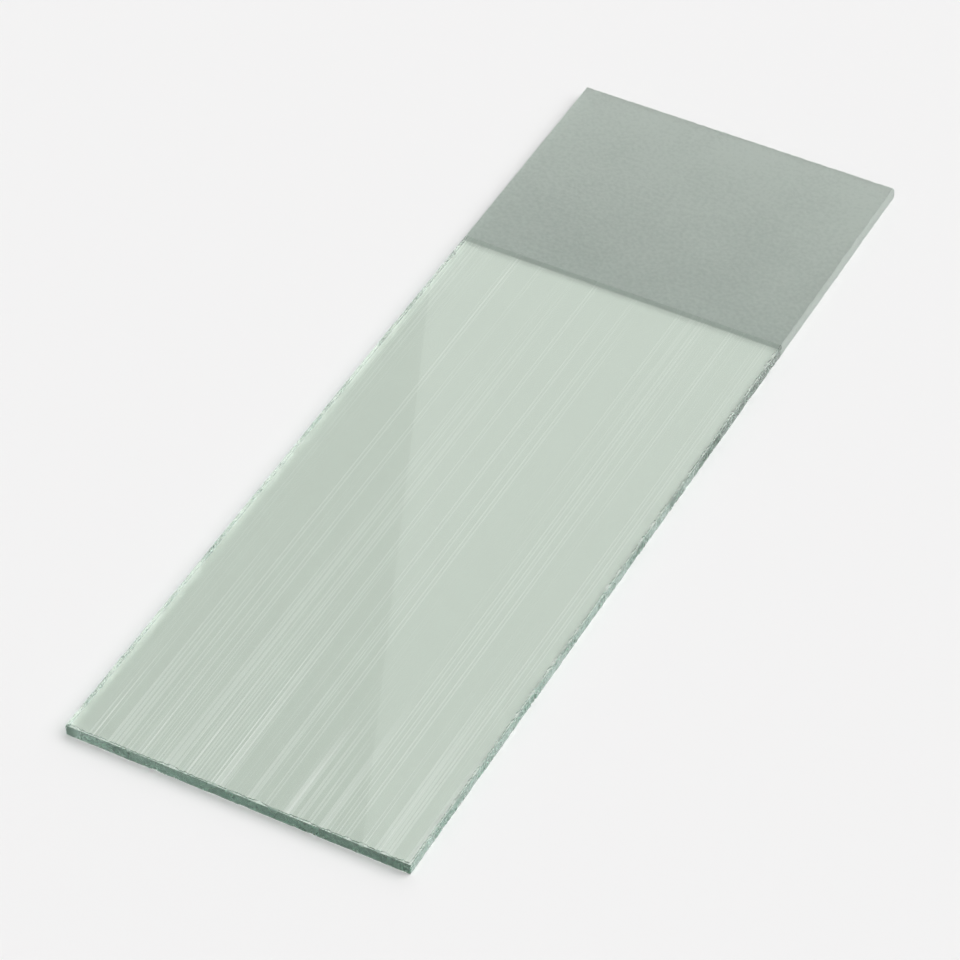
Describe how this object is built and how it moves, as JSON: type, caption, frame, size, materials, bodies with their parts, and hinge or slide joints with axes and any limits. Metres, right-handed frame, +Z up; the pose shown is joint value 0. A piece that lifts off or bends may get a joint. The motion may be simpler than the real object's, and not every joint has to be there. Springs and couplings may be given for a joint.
{
  "type": "microscope slide",
  "caption": "Flat glass plate with cut edges and a frosted writing area across one end of both faces, for holding a specimen under a microscope.",
  "frame": {"origin": "middle of the face that the slide lies on", "axes": "+Y runs along the slide to its frosted end, +Z points up out of the scored face, +X to the right when the frosted end is away from you"},
  "size_m": [0.026, 0.076, 0.001],
  "materials": {
    "glass": "clear soda-lime glass with a faint green tint, blasted matt over 20 mm at one end of both faces, snapped and unground on all four sides"
  },
  "bodies": {
    "root": {"slide": "glass"}
  },
  "joints": []
}
